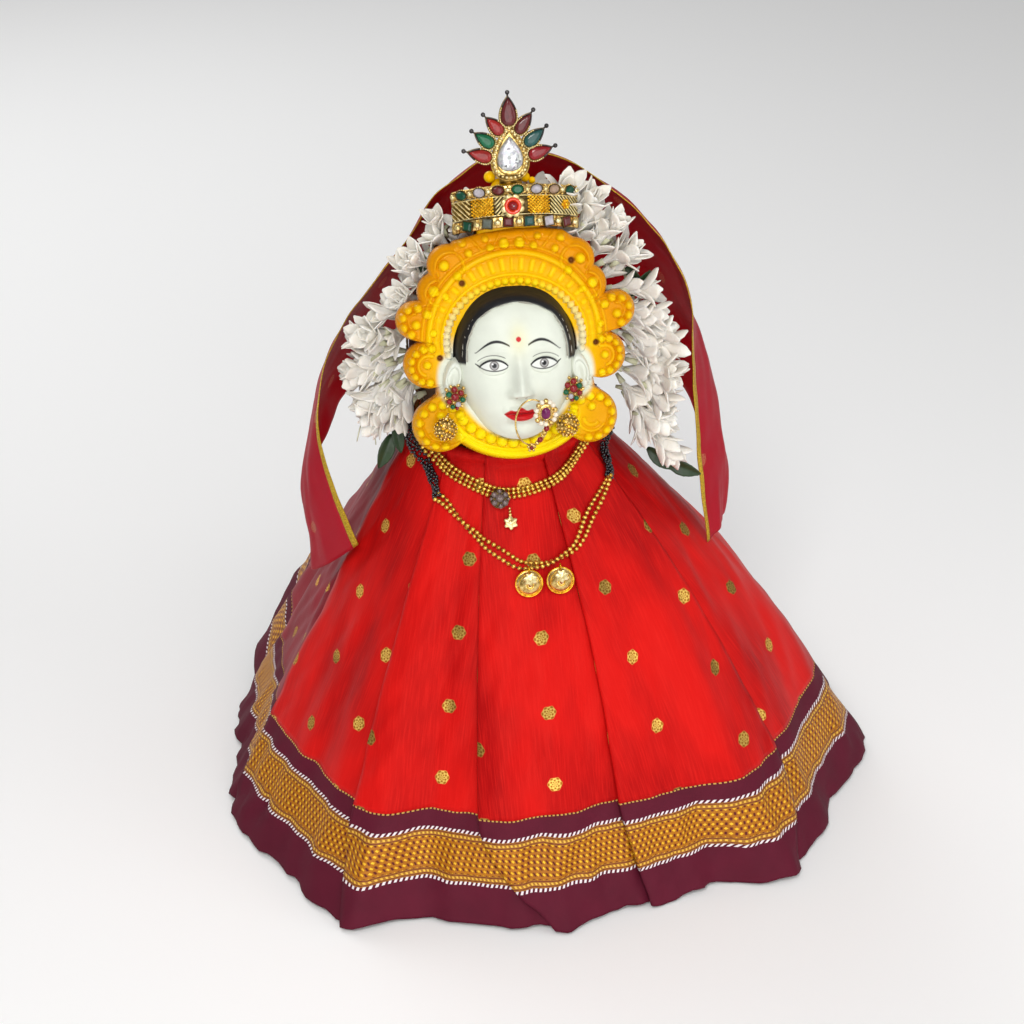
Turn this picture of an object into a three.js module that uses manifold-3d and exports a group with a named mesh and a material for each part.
// A dressed festival figure: a metal water pot wearing a pleated silk skirt, with a coconut in its mouth that
// carries a painted mask, a jewelled crown, a garland, a veil, a nose ring, earrings and two bead necklaces.
// Millimetres, +Z up, +X to the viewer's right, the face looks along -Y. The origin is the middle of the pot's foot.
import * as THREE from "three";
import { mergeVertices } from "three/addons/utils/BufferGeometryUtils.js";
import Module from "manifold-3d";

// ---- Driving dimensions ----------------------------------------------------------------------------------
const GAP = 0.3; // between pieces that touch
const POT_HEIGHT = 192;
const POT_SEGMENTS = 36;
const COCONUT = { centre: [0, 3.4, 232.5], half: [44, 40, 64] };
const TUFT_TOP = 300;

const WAIST_Z = 187.5; // where the skirt is sewn to its waistband
const WAIST_RADIUS = 43.6;
const CLOTH = 2; // thickness that the skirt's layers take together
const BORDER_START = 0.75; // share of the way from the waist to the hem where the woven border begins
const PLEAT_STEP = 2.4; // how far each pleat's edge stands over the next panel
const PLEAT_EDGES = [-180, -150, -112, -76, -36, -11, 18, 50, 83, 122, 152, 180]; // degrees round from the front
const HEM = [
  // degrees round from the front towards +X, radius, height of the hem
  [-180, 148, 44],
  [-155, 146, 50],
  [-138, 146, 42],
  [-125, 148, 16],
  [-112, 138, 0],
  [-92, 136, 0],
  [-75, 146, 0],
  [-53, 152, 0],
  [-33, 168, 0],
  [-22, 152, 0],
  [0, 157, 0],
  [18, 152, 0],
  [30, 160, 0],
  [43, 180, 0],
  [60, 179, 0],
  [80, 186, 0],
  [100, 182, 0],
  [125, 172, 6],
  [150, 156, 24],
  [180, 148, 44],
];

const LEAN = THREE.MathUtils.degToRad(17); // the mask and crown lean back against the coconut
const CHIN = new THREE.Vector3(1, -54, 197); // the mask's lowest point, on its back plane
const MASK_TOP = 107; // along the mask from the chin
const MASK_FRONT = 8; // how far the surround stands forward of its back plane
const FACE = { up: 44, half: [26.5, 24, 36], wall: 3 };
const LOBES = [
  // the scalloped outline of the surround: across on the left and on the right, up from the chin, radius
  [-35.5, 34.5, 18.2, 12.8],
  [-40, 41, 46.6, 11],
  [-44.5, 48, 67, 9],
  [-34, 35, 79.5, 9.2],
  [-28.2, 29.2, 91.2, 9.8],
];

const NATH = { hangsFrom: [5, -73.5, 236.5], halfWide: 7.5, halfHigh: 11.5, wire: 0.65 }; // the nose ring

const EARRINGS = [
  // side, stud across and up, drop across and up
  [-1, -29, 32.2, -34, 17.8],
  [1, 25, 32.4, 22.4, 16.4],
];

const CROWN = { across: 3.8, radius: 44, axisBack: 33.5, halfAngle: 42, low: 107.7, arch: 13.2 };
const PLUME_ACROSS = -2.6; // of the plume and the flower from the middle of the crown

const VEIL = [
  // stations from the left hem, over the head, to the right hem: front edge, middle, back edge
  [[-75, -27, 138], [-93, -8, 116], [-92, 12, 112]],
  [[-84, -21, 166], [-97, -4, 156], [-94, 18, 148]],
  [[-89, -14, 192], [-92, 10, 182], [-86, 34, 164]],
  [[-86, -11, 224], [-83, 24, 206], [-72, 52, 180]],
  [[-70, -9, 256], [-63, 34, 233.5], [-55, 64, 193]],
  [[-46, -4, 283], [-43, 38, 253.5], [-38, 72, 200]],
  [[-26, -2, 311.5], [-21, 42, 278], [-20, 76, 203]],
  [[4, -2, 328], [4, 44, 289.5], [4, 79, 204]],
  [[31, -4, 322.5], [28.5, 42, 288], [28, 76, 203]],
  [[54, -8, 307], [51.5, 38, 278.5], [50, 69, 202]],
  [[74, -12, 285], [74.5, 32, 260.5], [70, 60, 198]],
  [[88, -15, 258], [92.5, 24, 235.5], [88, 48, 190]],
  [[92, -17, 222], [105, 8, 208], [102, 30, 178]],
  [[97, -18, 172], [112, -2, 166], [111, 20, 150]],
  [[103, -20, 124], [113, -8, 132], [111, 10, 130]],
];
const VEIL_THICK = 1.6;
const ZARI_WIDTH = 5; // the gold edging along the veil's front

const GARLAND = [
  // from its left end, up behind the mask, over the head and down to its right end
  [-52, -14, 203], [-58, -14, 216], [-64, -13, 231], [-59, -13, 245], [-51, -13, 260], [-42, -12, 273],
  [-32, -10.5, 287], [-22, -8, 299], [-11, -5, 308], [3, -4, 311.5], [20, -4, 309.5], [34, -8, 303],
  [45, -11, 296], [53, -13, 281], [59, -14, 264], [65, -15, 246], [71, -16, 229], [69, -17, 212],
  [72, -18, 196], [77, -19, 182],
];
const GARLAND_RADIUS = 8.6;

const CHOKER_FRONT = [[-36, 188], [-29, 184], [-20, 180], [-10, 177.5], [0, 176.5], [11, 177.5], [22, 180.5],
  [31, 184.5], [37, 188]]; // across, height
const GOLD_FRONT = [[-32.3, 172], [-26, 165.3], [-18, 159.4], [-9, 153.8], [0, 149.3], [8, 148], [15, 148.2],
  [21, 150.2], [28, 154.8], [35, 162], [43, 169.8]];
const CHOKER_RADIUS = 2.3;
const STRAND_RADIUS = 2.2;
const STRAND_LIFT = 5.4; // of a strand's middle over the silk
const GOLD_RADIUS = 1.8;
const GOLD_LIFT = 4.4;
const VATI = { radius: 6.6, depth: 4, lift: 6.1, tilt: 18, at: [[3, 143.8], [18.2, 142.8]] }; // cups: across, height

// ---- Helpers ---------------------------------------------------------------------------------------------
const wasm = await Module();
wasm.setup();
const figure = new THREE.Group();
const rad = THREE.MathUtils.degToRad;

function solidOf(geometry) {
  const bare = geometry.index ? geometry.toNonIndexed() : geometry.clone();
  bare.deleteAttribute("normal");
  bare.deleteAttribute("uv");
  const merged = mergeVertices(bare, 1e-3);
  return new wasm.Manifold(
    new wasm.Mesh({
      numProp: 3,
      vertProperties: merged.attributes.position.array,
      triVerts: new Uint32Array(merged.index.array),
    }),
  );
}

function geometryOf(solid) {
  const mesh = solid.getMesh();
  const position = new Float32Array(mesh.numVert * 3);
  for (let i = 0; i < mesh.numVert; i++) {
    position.set(mesh.vertProperties.subarray(i * mesh.numProp, i * mesh.numProp + 3), i * 3);
  }
  const geometry = new THREE.BufferGeometry();
  geometry.setAttribute("position", new THREE.BufferAttribute(position, 3));
  geometry.setIndex(new THREE.BufferAttribute(mesh.triVerts, 1));
  return geometry;
}

const joined = (geometries) => geometryOf(geometries.map(solidOf).reduce((a, b) => a.add(b)));

function finish(color, roughness, metalness = 0) {
  return new THREE.MeshStandardMaterial({ color, roughness, metalness });
}
const BRASS = finish(0xb8863b, 0.35, 1);
const GOLD = finish(0xc79a33, 0.3, 1);
const RED_SILK = finish(0xd8141a, 0.45);
const MAROON = finish(0x5e1526, 0.6);
const VEIL_CLOTH = finish(0x8c1622, 0.6);
const ZARI = finish(0xb79a2a, 0.4, 0.6);
const YELLOW_PAINT = finish(0xf2a90a, 0.3);
const COIR = finish(0x6b4a2e, 0.95);
const PETAL = finish(0xe9e4d6, 0.6);
const LEAF = finish(0x27401f, 0.6);
const BLACK_BEAD = finish(0x0c0c10, 0.2);
const stone = (color) => finish(color, 0.08);

function place(name, geometry, material, parent = figure) {
  const mesh = new THREE.Mesh(geometry, material);
  mesh.name = name;
  parent.add(mesh);
  return mesh;
}

// A solid turned about Z from (radius, height) pairs.
function turned(profile, segments) {
  const points = profile.map(([r, z]) => new THREE.Vector2(r, z));
  return new THREE.LatheGeometry(points, segments).rotateX(Math.PI / 2);
}

// A slab between two grids of points, grid[i][j], closed all round. wrap joins the last i to the first.
function slab(outer, inner, wrap) {
  const rows = outer.length;
  const columns = outer[0].length;
  const corners = [...outer.flat(), ...inner.flat()];
  const faces = [];
  const at = (side, i, j) => side * rows * columns + (i % rows) * columns + j;
  const quad = (a, b, c, d) => faces.push(a, c, b, a, d, c);
  for (let i = 0; i < (wrap ? rows : rows - 1); i++) {
    for (let j = 0; j < columns - 1; j++) {
      quad(at(0, i, j), at(0, i + 1, j), at(0, i + 1, j + 1), at(0, i, j + 1));
      quad(at(1, i, j), at(1, i, j + 1), at(1, i + 1, j + 1), at(1, i + 1, j));
    }
    quad(at(0, i, 0), at(1, i, 0), at(1, i + 1, 0), at(0, i + 1, 0));
    quad(at(0, i, columns - 1), at(0, i + 1, columns - 1), at(1, i + 1, columns - 1), at(1, i, columns - 1));
  }
  for (let j = 0; j < columns - 1 && !wrap; j++) {
    quad(at(0, 0, j), at(0, 0, j + 1), at(1, 0, j + 1), at(1, 0, j));
    const end = rows - 1;
    quad(at(0, end, j), at(1, end, j), at(1, end, j + 1), at(0, end, j + 1));
  }
  const geometry = new THREE.BufferGeometry();
  geometry.setAttribute("position", new THREE.Float32BufferAttribute(corners.flatMap((p) => p.toArray()), 3));
  geometry.setIndex(faces);
  return geometry;
}

// A round tube along a smooth line through points.
function tube(points, radius, steps, sides = 8) {
  const section = new THREE.Shape();
  for (let k = 0; k < sides; k++) {
    const a = (2 * Math.PI * k) / sides;
    section[k ? "lineTo" : "moveTo"](radius * Math.cos(a), radius * Math.sin(a));
  }
  section.closePath();
  const extrudePath = new THREE.CatmullRomCurve3(points, false, "centripetal");
  return new THREE.ExtrudeGeometry(section, { steps, bevelEnabled: false, extrudePath });
}

// A flat outline in (across, up) made into a plate that runs from y = back to y = front.
function plate(shape, back, front, curveSegments = 8) {
  const flat = new THREE.ExtrudeGeometry(shape, { depth: back - front, bevelEnabled: false, curveSegments });
  return flat.rotateX(Math.PI / 2).translate(0, back, 0);
}

function disc(radius, across, up) {
  return new THREE.Shape().absarc(across, up, radius, 0, 2 * Math.PI, false);
}

// A dome that faces -Y: half width, half height, thickness, with its flat back at y = back.
function dome(halfWide, halfHigh, deep, back, sides = 12) {
  const profile = [[0, 0], [1, 0], [1, 0.35], [0.8, 0.75], [0.4, 0.97], [0, 1]];
  return turned(profile, sides)
    .rotateX(Math.PI / 2)
    .scale(halfWide, deep, halfHigh)
    .translate(0, back, 0);
}

// ---- Pot and coconut -------------------------------------------------------------------------------------
function potProfile() {
  const outer = [[0, 0], [30, 0], [29, 3], [24, 8], [26, 12], [44, 21], [59, 41], [65, 70], [62, 98], [49, 124],
    [35, 142], [29.2, 158], [30.8, 172], [34.2, 183], [37, 188.4], [43, 190], [43, POT_HEIGHT]];
  const inner = [[35, POT_HEIGHT], [34.4, 188.4], [31.8, 183], [28.6, 172], [27.2, 158], [33, 142.6],
    [47.2, 123], [60, 97.4], [63, 70], [57.2, 42], [43, 23.4], [24, 14.6], [0, 13]];
  return [...outer, ...inner];
}
place("pot", turned(potProfile(), POT_SEGMENTS), BRASS);

function coconut() {
  const [wide, deep, high] = COCONUT.half;
  const profile = [];
  for (let k = 0; k <= 14; k++) {
    const a = -Math.PI / 2 + (Math.PI * k) / 15.6;
    profile.push([wide * Math.cos(a), high * Math.sin(a)]);
  }
  profile[0][0] = 0;
  const tuft = TUFT_TOP - COCONUT.centre[2];
  profile.push([8, 65], [6.5, 69], [3.5, tuft], [0, tuft]);
  return turned(profile, 28).scale(1, deep / wide, 1).translate(...COCONUT.centre);
}
place("coconut", coconut(), COIR);

// ---- Skirt -----------------------------------------------------------------------------------------------
function hemAt(degrees) {
  const d = THREE.MathUtils.euclideanModulo(degrees + 180, 360) - 180;
  const k = HEM.findIndex(([angle]) => angle >= d);
  const [a1, r1, z1] = HEM[Math.max(k, 1)];
  const [a0, r0, z0] = HEM[Math.max(k, 1) - 1];
  const s = THREE.MathUtils.smoothstep(d, a0, a1);
  return [r0 + (r1 - r0) * s, z0 + (z1 - z0) * s];
}

// How far a panel has risen over the one beside it: panels climb towards the front from both sides.
function pleatRise(degrees) {
  const k = Math.min(PLEAT_EDGES.findIndex((e) => e > degrees), PLEAT_EDGES.length - 1);
  const from = PLEAT_EDGES[Math.max(k, 1) - 1];
  const to = PLEAT_EDGES[Math.max(k, 1)];
  const share = (degrees - from) / (to - from);
  return PLEAT_STEP * (degrees < 19 ? 1 - share : share);
}

// A point of the skirt's outer face: degrees round from the front, share of the way down to the hem.
function skirtPoint(degrees, share, inset = 0) {
  const [hemRadius, hemHeight] = hemAt(degrees);
  const bulge = (5 + 6 * Math.sin(rad(degrees))) * Math.sin(Math.PI * share);
  const rise = pleatRise(degrees) * Math.sqrt(share);
  const r = WAIST_RADIUS + (hemRadius - WAIST_RADIUS) * share + bulge + rise - inset;
  const z = WAIST_Z + (hemHeight - WAIST_Z) * share;
  return new THREE.Vector3(r * Math.sin(rad(degrees)), -r * Math.cos(rad(degrees)), z);
}

function skirtRing(from, to, columns) {
  const outer = [];
  const inner = [];
  for (let degrees = -180; degrees < 180; degrees += 6) {
    const shares = Array.from({ length: columns + 1 }, (_, j) => from + ((to - from) * j) / columns);
    outer.push(shares.map((s) => skirtPoint(degrees, s)));
    inner.push(shares.map((s) => skirtPoint(degrees, s, CLOTH)));
  }
  return slab(outer, inner, true);
}

const seam = GAP / 200; // the gap as a share of the skirt's length
place("waistband", turned([[38.6, 176], [41, 176], [41, WAIST_Z], [38.6, WAIST_Z], [38.6, 176]], 36), MAROON);
place("skirt_panels", skirtRing(0, BORDER_START, 6), RED_SILK);
place("skirt_border", skirtRing(BORDER_START + seam, 1, 3), MAROON);

// The point on the front of the skirt at that place across and height, standing clear by lift.
function onSkirt(across, height, lift) {
  let degrees = 0;
  let share = 0;
  for (let turn = 0; turn < 30; turn++) {
    share = THREE.MathUtils.clamp((WAIST_Z - height) / (WAIST_Z - hemAt(degrees)[1]), 0, 1);
    const p = skirtPoint(degrees, share);
    degrees = THREE.MathUtils.radToDeg(Math.asin(THREE.MathUtils.clamp(across / Math.hypot(p.x, p.y), -1, 1)));
  }
  const p = skirtPoint(degrees, share, -lift);
  return new THREE.Vector3(across, p.y, height);
}

// ---- Necklaces -------------------------------------------------------------------------------------------
const backOf = (points) => points.map((p) => new THREE.Vector3(...p));
const chokerFront = CHOKER_FRONT.map(([x, z]) => onSkirt(x, z, STRAND_LIFT));
const goldFront = GOLD_FRONT.map(([x, z]) => onSkirt(x, z, x > 40 ? GOLD_LIFT + 1.2 : GOLD_LIFT));

function chokerLine() {
  const left = backOf([[0, 41.5, 195.2], [-24, 34, 195.2], [-37, 16, 195.2], [-41, -4, 195.2], [-41.5, -19, 195],
    [-37, -31, 190.5]]);
  const right = backOf([[37, -31, 190.5], [41.5, -19, 195], [41, -4, 195.2], [37, 16, 195.2], [24, 34, 195.2], [1.5, 41.5, 195.2]]);
  return [...left, ...chokerFront.slice(1, -1), ...right];
}

function blackLine() {
  const leftEnd = onSkirt(-35, 172.6, STRAND_LIFT);
  const rightEnd = onSkirt(47, 172.8, STRAND_LIFT + 2);
  const left = backOf([[-39.5, -37, 181.5], [-44.5, -26.5, 190], [-47.5, -8, 198.6], [-43, 12, 200.5], [-30, 34, 200.5]]);
  const right = backOf([[30, 34, 200.5], [43, 12, 200.5], [48.5, -6, 198.6], [51.5, -20, 189], [50.5, -29, 179.5]]);
  return [leftEnd, ...left, new THREE.Vector3(0, 45.5, 200.5), ...right, rightEnd];
}

place("choker_strand", tube(chokerLine(), CHOKER_RADIUS, 60), GOLD);
place("black_bead_strand", tube(blackLine(), STRAND_RADIUS, 60), BLACK_BEAD);
place("gold_bead_strand", tube(goldFront, GOLD_RADIUS, 32), GOLD);

// A piece made facing -Y at the origin, laid on the skirt so that it lies along the slope.
function laidOnSkirt(name, geometry, material, across, height, lift) {
  const mesh = place(name, geometry, material);
  const low = onSkirt(across, height - 5, lift);
  const high = onSkirt(across, height + 5, lift);
  mesh.position.copy(onSkirt(across, height, lift));
  mesh.rotation.x = -Math.atan2(high.y - low.y, high.z - low.z);
  return mesh;
}

// A six-pointed star with a stem of that length standing on its top point.
function star(radius, stem = 0) {
  const shape = new THREE.Shape();
  for (let k = 1; k <= 12; k++) {
    const r = k % 2 ? radius * 0.55 : radius;
    const a = Math.PI / 2 + (Math.PI * k) / 6;
    shape[k > 1 ? "lineTo" : "moveTo"](r * Math.cos(a), r * Math.sin(a));
  }
  if (stem) shape.lineTo(0.7, radius).lineTo(0.7, radius + stem).lineTo(-0.7, radius + stem).lineTo(-0.7, radius);
  shape.closePath();
  return shape;
}
laidOnSkirt("choker_clasp", dome(4.5, 4.5, 3.2, 0), stone(0x9a8f8a), -8, 178, 9.2);
laidOnSkirt("choker_drop", plate(star(3.4, 4), 0, -1.2), GOLD, -3.5, 166.5, 4.2);
VATI.at.forEach(([across, height], k) => {
  const side = k ? "right" : "left";
  const cup = dome(VATI.radius, VATI.radius, VATI.depth, 0, 20).rotateX(rad(VATI.tilt));
  const flower = plate(star(3.4), -VATI.depth - GAP, -VATI.depth - 1.5).translate(0, 0, 3.2).rotateX(rad(VATI.tilt));
  laidOnSkirt(`vati_${side}_cup`, cup, GOLD, across, height, VATI.lift);
  laidOnSkirt(`vati_${side}_flower`, flower, GOLD, across, height, VATI.lift);
});

// ---- Mask ------------------------------------------------------------------------------------------------
const mask = new THREE.Group();
mask.position.copy(CHIN);
mask.rotation.x = -LEAN;
figure.add(mask);

function surroundOutline() {
  const solids = [];
  for (const [left, right, up, radius] of LOBES) {
    for (const across of [left, right]) solids.push(plate(disc(radius, across, up), 1, -MASK_FRONT, 14));
  }
  const body = new THREE.Shape();
  body.absellipse(0, 30, 37, 30, Math.PI, 2 * Math.PI, false);
  body.lineTo(43, 52).lineTo(45, 68).lineTo(37, 88).lineTo(31, 100);
  body.lineTo(25, 104.6).lineTo(16, MASK_TOP - 0.8).lineTo(2, MASK_TOP - 0.2).lineTo(-12, 105.2).lineTo(-26, 102);
  body.lineTo(-35, 88).lineTo(-43, 68).lineTo(-42, 52);
  body.closePath();
  return [...solids, plate(body, 1, -MASK_FRONT, 16)];
}

function ellipsoid(half, across, deep, up, segments = 26) {
  return new THREE.SphereGeometry(1, segments, segments / 2).scale(...half).translate(across, deep, up);
}

function maskShell() {
  const [wide, deep, high] = FACE.half;
  const shell = [
    ...surroundOutline(),
    ellipsoid(FACE.half, 0, 0, FACE.up),
    ellipsoid([3.6, 5.5, 9], 0, -23.5, FACE.up - 4, 12),
    ...[-1, 1].map((side) => ellipsoid([5, 5, 9], side * 26, -7, 38, 10)),
  ].map(solidOf);
  const behind = solidOf(new THREE.BoxGeometry(140, 60, 140).translate(0, 31, 50));
  const hollow = solidOf(
    ellipsoid([wide - FACE.wall, deep - FACE.wall, high - FACE.wall], 0, 0, FACE.up),
  );
  return geometryOf(shell.reduce((a, b) => a.add(b)).subtract(behind).subtract(hollow));
}
place("mask_shell", maskShell(), YELLOW_PAINT, mask);

for (const [side, studAcross, studUp, dropAcross, dropUp] of EARRINGS) {
  const name = side < 0 ? "left" : "right";
  place(`ear_stud_${name}`, dome(5, 5, 4.5, side < 0 ? -13 : -14.6).translate(studAcross, 0, studUp), stone(0xa01020), mask);
  const hook = backOf([[studAcross * 0.4 + dropAcross * 0.6, -15, studUp - 6], [dropAcross, -15, dropUp + 3.5]]);
  const drop = joined([tube(hook, 0.8, 1, 8), dome(5.2, 5.2, 5, -13, 14).translate(dropAcross, 0, dropUp)]);
  place(`ear_drop_${name}`, drop, GOLD, mask);
}

// Nose ring: it hangs upright from the nostril, a wire loop with a jewelled flower and a tail of beads.
const nath = new THREE.Group();
nath.position.set(...NATH.hangsFrom);
figure.add(nath);
const nathWire = new THREE.TorusGeometry(1, NATH.wire / NATH.halfWide, 6, 28)
  .rotateX(Math.PI / 2)
  .scale(NATH.halfWide, NATH.halfWide, NATH.halfHigh)
  .translate(0, 0, -NATH.halfHigh);
place("nath_wire", nathWire, GOLD, nath);
const nathFront = -NATH.wire - GAP;
place("nath_flower", dome(6, 6, 3, nathFront).translate(6, 0, -6), stone(0x7a1450), nath);
const tail = [[7, -13.5], [5.3, -18], [2.6, -21.5], [-0.6, -23.4]].map(
  ([across, down]) => new THREE.Vector3(across, nathFront - 1.3, down),
);
place("nath_bead_tail", tube(tail, 1.2, 10, 8), GOLD, nath);

// ---- Crown -----------------------------------------------------------------------------------------------
const crown = new THREE.Group();
crown.position.set(CHIN.x + CROWN.across, CHIN.y, CHIN.z);
crown.rotation.x = -LEAN;
figure.add(crown);

// The crown's band arches: it sinks towards both ends by this much, at that turn round its axis.
const archDrop = (turn) => CROWN.arch * (1 - Math.cos(turn));

// A bent strip of the crown between two radii of its curve and two heights.
function bentStrip(innerRadius, outerRadius, low, high) {
  const wall = (radius) =>
    Array.from({ length: 19 }, (_, k) => {
      const turn = rad(CROWN.halfAngle) * (k / 9 - 1);
      const [across, deep] = [radius * Math.sin(turn), CROWN.axisBack - radius * Math.cos(turn)];
      return [high, low].map((up) => new THREE.Vector3(across, deep, up - archDrop(turn)));
    });
  return slab(wall(outerRadius), wall(innerRadius), false);
}
const { radius: crownRadius, low: crownLow } = CROWN;
place("crown_lower_rail", bentStrip(crownRadius - 3, crownRadius, crownLow, crownLow + 5.2), GOLD, crown);
place("crown_mesh", bentStrip(crownRadius - 2, crownRadius - 0.9, crownLow + 5.5, crownLow + 14.3), GOLD, crown);
place("crown_upper_rail", bentStrip(crownRadius - 3, crownRadius, crownLow + 14.6, crownLow + 19), GOLD, crown);

function railStones(name, count, spacing, up, halfWide, halfHigh, colours) {
  for (let k = 0; k < count; k++) {
    const turn = rad((k - (count - 1) / 2) * spacing);
    const jewel = dome(halfWide, halfHigh, 1.8, -(crownRadius + GAP), 8)
      .rotateZ(turn)
      .translate(0, CROWN.axisBack, up - archDrop(turn));
    place(`${name}_${k + 1}`, jewel, stone(colours[k % colours.length]), crown);
  }
}
const GREEN = 0x0b5a3a;
const CLEAR = 0xb8b4b0;
const RUBY = 0xa02a2a;
railStones("lower_stone", 6, 12.4, crownLow + 2.6, 2.7, 2.2, [GREEN, CLEAR, RUBY, GREEN, CLEAR, RUBY]);
railStones("upper_stone", 7, 11.4, crownLow + 16.8, 2.9, 2.1, [GREEN, CLEAR, RUBY, GREEN, CLEAR, RUBY, GREEN]);

function petalShape(long, wide, across = 0, up = 0, turn = 0) {
  // A pointed drop: round at the foot, tapering to its tip. turn leans it from straight up, in degrees.
  const place2 = (x, y) => {
    const a = rad(turn);
    return [across + x * Math.cos(a) + y * Math.sin(a), up - x * Math.sin(a) + y * Math.cos(a)];
  };
  const shape = new THREE.Shape();
  shape.moveTo(...place2(0, 0));
  shape.bezierCurveTo(...place2(wide * 0.62, 0), ...place2(wide * 0.62, long * 0.55), ...place2(0, long));
  shape.bezierCurveTo(...place2(-wide * 0.62, long * 0.55), ...place2(-wide * 0.62, 0), ...place2(0, 0));
  return shape;
}

// The plume's petals: name, foot across and up, lean in degrees, length, width, colour.
const PETALS = [
  ["top", 0, 151.6, 0, 14.6, 9.4, RUBY],
  ["left_1", -2.4, 148.6, -43, 11.8, 7.8, 0xc22a2e],
  ["right_1", 2.8, 148.6, 39, 12.5, 7.8, RUBY],
  ["left_2", -6.4, 143.6, -54, 11.6, 8, GREEN],
  ["right_2", 6.4, 143.2, 51, 12.6, 8, GREEN],
  ["left_3", -7.5, 138.4, -73, 12.6, 8, 0xc22a2e],
  ["right_3", 7.5, 138.6, 72, 12.8, 8, RUBY],
];
const PLUME_BACK = -7.4;
const PLUME_FRONT = -9;

function plumePlate() {
  const drop = petalShape(24.5, 18.4, 0, 128.4);
  const stem = new THREE.Shape([[-5, 127.1], [5, 127.1], [5, 131], [-5, 131]].map((p) => new THREE.Vector2(...p)));
  const parts = [plate(drop, PLUME_BACK, PLUME_FRONT), plate(stem, PLUME_BACK, PLUME_FRONT)];
  for (const [, across, up, turn, long, wide] of PETALS) {
    parts.push(plate(petalShape(long, wide, across, up, turn), PLUME_BACK, PLUME_FRONT, 6));
    const tip = [across + (long + 1.2) * Math.sin(rad(turn)), up + (long + 1.2) * Math.cos(rad(turn))];
    parts.push(new THREE.SphereGeometry(1.1, 8, 6).translate(tip[0], (PLUME_BACK + PLUME_FRONT) / 2, tip[1]));
    const root = [across + long * 0.8 * Math.sin(rad(turn)), up + long * 0.8 * Math.cos(rad(turn))];
    const stalk = [root, tip].map(([x, z]) => new THREE.Vector3(x, (PLUME_BACK + PLUME_FRONT) / 2, z));
    parts.push(tube(stalk, 0.55, 1, 6));
  }
  return joined(parts);
}
const plume = new THREE.Group();
plume.position.x = PLUME_ACROSS;
crown.add(plume);
place("plume_plate", plumePlate(), GOLD, plume);
const stoneBack = PLUME_FRONT - GAP;
place("teardrop_stone", plate(petalShape(16, 12.6, 0, 132.4), stoneBack, stoneBack - 2.2), stone(0xa9a9b6), plume);
for (const [name, across, up, turn, long, wide, colour] of PETALS) {
  const inset = 1.6;
  const foot = [across + inset * Math.sin(rad(turn)), up + inset * Math.cos(rad(turn))];
  const shape = petalShape(long - 2 * inset, wide - 2 * inset, ...foot, turn);
  const shown = place(`petal_stone_${name}`, plate(shape, stoneBack, stoneBack - 1.4, 6), stone(colour), plume);
  shown.renderOrder = 1;
}
const flowerBack = -(crownRadius - CROWN.axisBack) - GAP;
place("crown_flower", dome(4.9, 4.9, 1.6, flowerBack, 14).translate(0, 0, crownLow + 9.7), GOLD, plume);
const rubyBack = flowerBack - 1.6 - GAP;
place("crown_flower_stone", dome(2.9, 2.9, 1.6, rubyBack, 10).translate(0, 0, crownLow + 9.7), stone(0xb01010), plume);

// ---- Garland ---------------------------------------------------------------------------------------------
const garlandLine = backOf(GARLAND);
place("flower_garland", tube(garlandLine, GARLAND_RADIUS, 44, 9), PETAL);

function leaf(name, foot, tip, wide) {
  const from = new THREE.Vector3(...foot);
  const along = new THREE.Vector3(...tip).sub(from);
  const geometry = plate(petalShape(along.length(), wide), 0.6, -0.6);
  const mesh = place(name, geometry, LEAF);
  mesh.position.copy(from);
  mesh.quaternion.setFromUnitVectors(new THREE.Vector3(0, 0, 1), along.normalize());
}
leaf("garland_leaf_left", [-54, -15, 192.5], [-61, -18, 176], 9);
leaf("garland_leaf_right", [79, -21, 171.5], [96, -24, 164], 9);

// ---- Veil ------------------------------------------------------------------------------------------------
const edgeLine = (k) => new THREE.CatmullRomCurve3(VEIL.map((row) => new THREE.Vector3(...row[k])), false, "catmullrom");
const veilLines = [0, 1, 2].map(edgeLine);

// A point of the veil: share along from the left hem to the right, share across from the front edge back.
function veilPoint(along, across) {
  const [front, middle, back] = veilLines.map((line) => line.getPoint(along));
  const weights = [(1 - across) * (1 - 2 * across), 4 * across * (1 - across), across * (2 * across - 1)];
  return front.multiplyScalar(weights[0]).addScaledVector(middle, weights[1]).addScaledVector(back, weights[2]);
}

function veilSlab(from, to, columns, thick, rows = 44) {
  const outer = [];
  const inner = [];
  for (let i = 0; i <= rows; i++) {
    outer.push([]);
    inner.push([]);
    for (let j = 0; j <= columns; j++) {
      const across = from + ((to - from) * j) / columns;
      const step = 0.01;
      const a = THREE.MathUtils.clamp(i / rows, step, 1 - step);
      const alongWay = veilPoint(a + step, across).sub(veilPoint(a - step, across));
      const acrossWay = veilPoint(i / rows, across + step).sub(veilPoint(i / rows, across - step));
      const out = acrossWay.cross(alongWay).normalize();
      const p = veilPoint(i / rows, across);
      outer[i].push(p.clone().addScaledVector(out, thick / 2));
      inner[i].push(p.addScaledVector(out, -thick / 2));
    }
  }
  return slab(outer, inner, false);
}
const zariShare = ZARI_WIDTH / 120;
place("veil", veilSlab(0.003, 1, 8, VEIL_THICK), VEIL_CLOTH);
place("veil_zari_edge", veilSlab(-zariShare, -0.003, 1, VEIL_THICK), ZARI);

export default figure;
